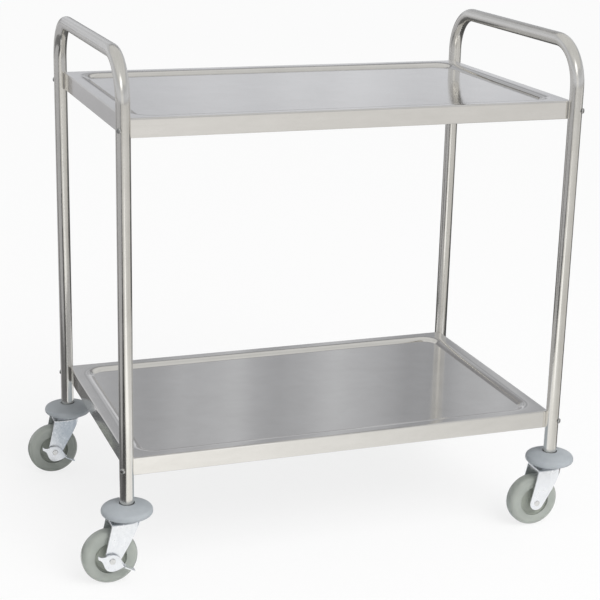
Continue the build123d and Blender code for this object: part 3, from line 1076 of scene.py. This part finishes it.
# Cards on the floor, which the posts and the flanges reflect
FLOOR_CARDS = (
    Card(
        name="near_floor_card", middle=(0.2, -1.1, 0.001), across=(5, 0, 0), up=(0, 0.6, 0),
        dark=(1.0, 0.99, 0.96), light=(1.0, 0.995, 0.97),
        strength=1.07, focus=(-0.3, -0.75, 0), reach=1.5, edge=0.5,
    ),
    Card(
        name="front_floor_card", middle=(0.2, -4.7, 0.001), across=(5, 0, 0), up=(0, 3.0, 0),
        dark=(0.80, 0.79, 0.77), light=(0.90, 0.89, 0.87),
        focus=(0.6, -4.5, 0), reach=4.0, edge=0.72,
    ),
    # Painted shade: a dark card under the trolley's footprint stands in, in reflections, for the floor in
    # the trolley's shadow.
    Card(
        name="under_trolley_painted_shade", middle=(0.02, -0.02, 0.004), across=(0.42, 0, 0), up=(0, 0.24, 0),
        dark=(0.34, 0.38, 0.42), light=(0.46, 0.50, 0.54),
    ),
    Card(
        name="left_floor_card", middle=(-3.79, 0.68, 0.002), across=(-3.25, -3.13, 0), up=(0, 4.2, 0),
        dark=(0.43, 0.43, 0.445), light=(0.55, 0.55, 0.565),
    ),
    Card(
        name="left_near_card", middle=(-0.55, 0.36, 0.004), across=(0.13, 0, 0), up=(0, 0.2, 0),
        dark=(0.11, 0.115, 0.12), light=(0.18, 0.185, 0.19),
    ),
    Card(
        name="left_far_card", middle=(-5.1, 10.6, 0.003), across=(1.16, 0.59, 0), up=(-2.6, 5.1, 0),
        dark=(0.60, 0.60, 0.61), light=(0.70, 0.70, 0.71),
    ),
    Card(
        name="left_floor_edge", middle=(-3.79, -3.52, 0.003), across=(-3.25, -3.13, 0), up=(0, 0.42, 0),
        dark=(0.05, 0.05, 0.05), light=(0.09, 0.09, 0.09),
    ),
    Card(
        name="left_rear_strip", middle=(-2.68, 1.71, 0.003), across=(-2.1, 1.84, 0), up=(0, 0.5, 0),
        dark=(0.12, 0.12, 0.125), light=(0.20, 0.20, 0.205),
    ),
    Card(
        name="key_floor_strip", middle=(-0.52, -2.3, 0.003), across=(0.33, 0.06, 0), up=(-0.28, -1.4, 0),
        dark=(1.0, 1.0, 0.98), light=(1.0, 1.0, 1.0), strength=1.3,
    ),
    Card(
        name="back_floor_card", middle=(3.0, 4.6, 0.002), across=(3.6, 0, 0), up=(0, 4, 0),
        dark=(0.045, 0.045, 0.045), light=(0.075, 0.075, 0.075),
        focus=(1.2, 1.5, 0), reach=2.2, edge=3.4,
    ),
    Card(
        name="right_rear_card", middle=(3.6, 0.175, 0.002), across=(3.05, 0, 0), up=(0, 0.425, 0),
        dark=(0.05, 0.05, 0.05), light=(0.09, 0.09, 0.09),
        focus=(1.3, 0.4, 0), reach=1.6, edge=2.6,
    ),
    Card(
        name="right_floor_card", middle=(4.8, -1.025, 0.002), across=(4, 0, 0), up=(0, 0.775, 0),
        dark=(0.58, 0.57, 0.55), light=(0.70, 0.69, 0.67),
    ),
)

BANDS = (
    Band(
        name="far_floor", low=0.0005, high=0.0005, low_radius=7.5,
        dark=(0.38, 0.38, 0.39), light=(0.50, 0.50, 0.51),
    ),
    Band(
        name="far_band_low", low=0.0, high=6.2,
        dark=(0.58, 0.59, 0.62), light=(0.74, 0.75, 0.78),
    ),
    Band(
        name="far_band_high", low=6.2, high=11.0,
        dark=(0.50, 0.51, 0.53), light=(0.64, 0.65, 0.67),
    ),
    Band(
        name="far_band_top", low=11.0, high=15.5,
        dark=(0.48, 0.48, 0.49), light=(0.60, 0.60, 0.61),
    ),
)


@dataclass
class Studio:
    """Pale floor, soft light, white surround, cards that only metal shows, and the camera."""

    surround_light: float = 0.55
    floor_half: float = 120.0
    floor_colour: tuple[float, float, float, float] = (0.97, 0.97, 0.97, 1)
    floor_glow: float = 0.78
    sun_place: Triple = (1.2, -2.0, 3.0)
    sun_aim: Triple = (0, 0, 0)
    sun_strength: float = 1.25
    sun_spread: float = 45.0
    softbox_place: Triple = (0.6, -2.8, 2.2)
    softbox_aim: Triple = (0, 0, 0.4)
    softbox_width: float = 1.8
    softbox_watts: float = 26.0
    band_turns: int = 96
    eye: Triple = (-0.9815, -2.7141, 1.2940)
    yaw: float = 20.055
    pitch: float = 17.031
    roll: float = 1.389
    lens: float = 93.42
    sensor: float = 36.0

    def world(self) -> None:
        """White to the camera and in reflections, a softer level for the light it gives."""
        world = bpy.data.worlds.new("studio_surround")
        bpy.context.scene.world = world
        nodes = Nodes(world, "ShaderNodeOutputWorld")
        light = nodes.glow("ShaderNodeBackground", self.surround_light)
        white = nodes.glow("ShaderNodeBackground", 1.0)
        nodes.blend(nodes.seen(), light, white)

    def floor(self) -> None:
        """Pale floor that keeps a light shadow."""
        h = self.floor_half
        points = np.array([(-h, -h, 0), (h, -h, 0), (h, h, 0), (-h, h, 0)], float)
        plane = mesh_piece("studio_floor", points, [[0, 1, 2, 3]])
        nodes = FinishNodes("studio_floor_white")
        matt = nodes.add("ShaderNodeBsdfDiffuse")
        matt.inputs["Color"].default_value = self.floor_colour
        white = nodes.glow("ShaderNodeEmission", 1.0)
        share = nodes.add("ShaderNodeMath", operation="MULTIPLY")
        share.inputs[1].default_value = self.floor_glow
        nodes.link(nodes.seen(), share.inputs[0])
        nodes.blend(share.outputs[0], matt, white)
        plane.data.materials.append(nodes.material)

    def hang(self, light: bpy.types.Light, place: Triple, aim: Triple) -> None:
        """Hang a light, out of reflections.

        Args:
            light: The light.
            place: Where it hangs.
            aim: Point that it faces.
        """
        lamp = bpy.data.objects.new(light.name, light)
        lamp.location = place
        lamp.rotation_mode = "QUATERNION"
        lamp.rotation_quaternion = (Vector(aim) - Vector(place)).to_track_quat("-Z", "Y")
        lamp.visible_glossy = False
        bpy.context.scene.collection.objects.link(lamp)

    def sun(self) -> None:
        """Broad, even light over the whole floor, whose wide angle softens the shadow."""
        light = bpy.data.lights.new("soft_sun", "SUN")
        light.energy = self.sun_strength
        light.angle = math.radians(self.sun_spread)
        self.hang(light, self.sun_place, self.sun_aim)

    def softbox(self) -> None:
        """Square soft light before the trolley."""
        light = bpy.data.lights.new("key_softbox", "AREA")
        light.shape = "SQUARE"
        light.size = self.softbox_width
        light.energy = self.softbox_watts
        self.hang(light, self.softbox_place, self.softbox_aim)

    def card(self, card: Card) -> None:
        """Hang a flat card, its corners at middle plus or minus its half width and half height.

        Args:
            card: The card.
        """
        m, a, b = (np.array(v, float) for v in (card.middle, card.across, card.up))
        corners = np.stack([m - a - b, m + a - b, m + a + b, m - a + b])
        self.tone(mesh_piece(card.name, corners, [[0, 1, 2, 3]]), card)

    def band(self, band: Band) -> None:
        """Hang a band, its points at (r cos a, r sin a, z) for each angle a at its lower and upper edge.

        Args:
            band: The band.
        """
        turns = self.band_turns
        angle = np.linspace(0, 2 * math.pi, turns, endpoint=False)
        edges = ((band.low_radius, band.low), (band.high_radius, band.high))
        rows = [np.stack([r * np.cos(angle), r * np.sin(angle), np.full(turns, z)], -1) for r, z in edges]
        quads = grid_quads(len(rows), turns, False, True)
        self.tone(mesh_piece(band.name, np.concatenate(rows), quads.tolist()), band)

    def tone(self, sheet: bpy.types.Object, tone: Tone) -> None:
        """Give a card its tone and show it only in reflections, where it draws the form of bright metal.

        Args:
            sheet: The card or band.
            tone: What it shows.
        """
        nodes = FinishNodes(f"{tone.name}_tone")
        glow = nodes.glow("ShaderNodeEmission", tone.strength)
        if tone.reach:
            near = nodes.nearness(tone.focus, tone.reach)
            fall = nodes.spread(near, tone.strength * tone.edge, tone.strength, (0.0, 1.0))
            nodes.link(fall, glow.inputs["Strength"])
        streak = nodes.noise(Grain(1.0, stretch=tone.streak, detail=tone.octaves))
        nodes.link(nodes.tint(streak, tone.dark, tone.light), glow.inputs["Color"])
        nodes.link(glow.outputs[0], nodes.output.inputs["Surface"])
        sheet.data.materials.append(nodes.material)
        sheet.visible_camera = False
        sheet.visible_diffuse = False
        sheet.visible_shadow = False

    def camera(self) -> None:
        """Camera at the photograph's angle, from its yaw, pitch and roll in degrees."""
        yaw, pitch, roll = (math.radians(a) for a in (self.yaw, self.pitch, self.roll))
        ahead = Vector((math.sin(yaw) * math.cos(pitch), math.cos(yaw) * math.cos(pitch), -math.sin(pitch)))
        right = Vector((math.cos(yaw), -math.sin(yaw), 0))
        up = right.cross(ahead)
        side = right * math.cos(roll) + up * math.sin(roll)
        top = up * math.cos(roll) - right * math.sin(roll)
        data = bpy.data.cameras.new("photo_camera")
        data.lens = self.lens
        data.sensor_width = self.sensor
        camera = bpy.data.objects.new("photo_camera", data)
        turn = Matrix((side, top, -ahead)).transposed().to_4x4()
        camera.matrix_world = Matrix.Translation(Vector(self.eye)) @ turn
        bpy.context.scene.collection.objects.link(camera)
        bpy.context.scene.camera = camera

    def build(self) -> None:
        """Set the stage, the lights, the cards, the bands and the camera."""
        self.world()
        self.floor()
        self.sun()
        self.softbox()
        for card in (*HIGH_CARDS, *KEY_CARDS, *FLOOR_CARDS):
            self.card(card)
        for band in BANDS:
            self.band(band)
        self.camera()


def main() -> None:
    """Build the trolley's sub-assemblies in order, then the studio."""
    logging.basicConfig(level=logging.INFO)
    bpy.context.scene.view_settings.view_transform = "Standard"
    finishes = Finishes()
    for end in End:
        EndFrame(end, finishes).dress()
    for tier in Tier:
        Tray(tier, finishes).dress()
    for corner in Corner:
        Caster(corner, finishes).dress()
    Studio().build()


if __name__ == "__main__":
    main()
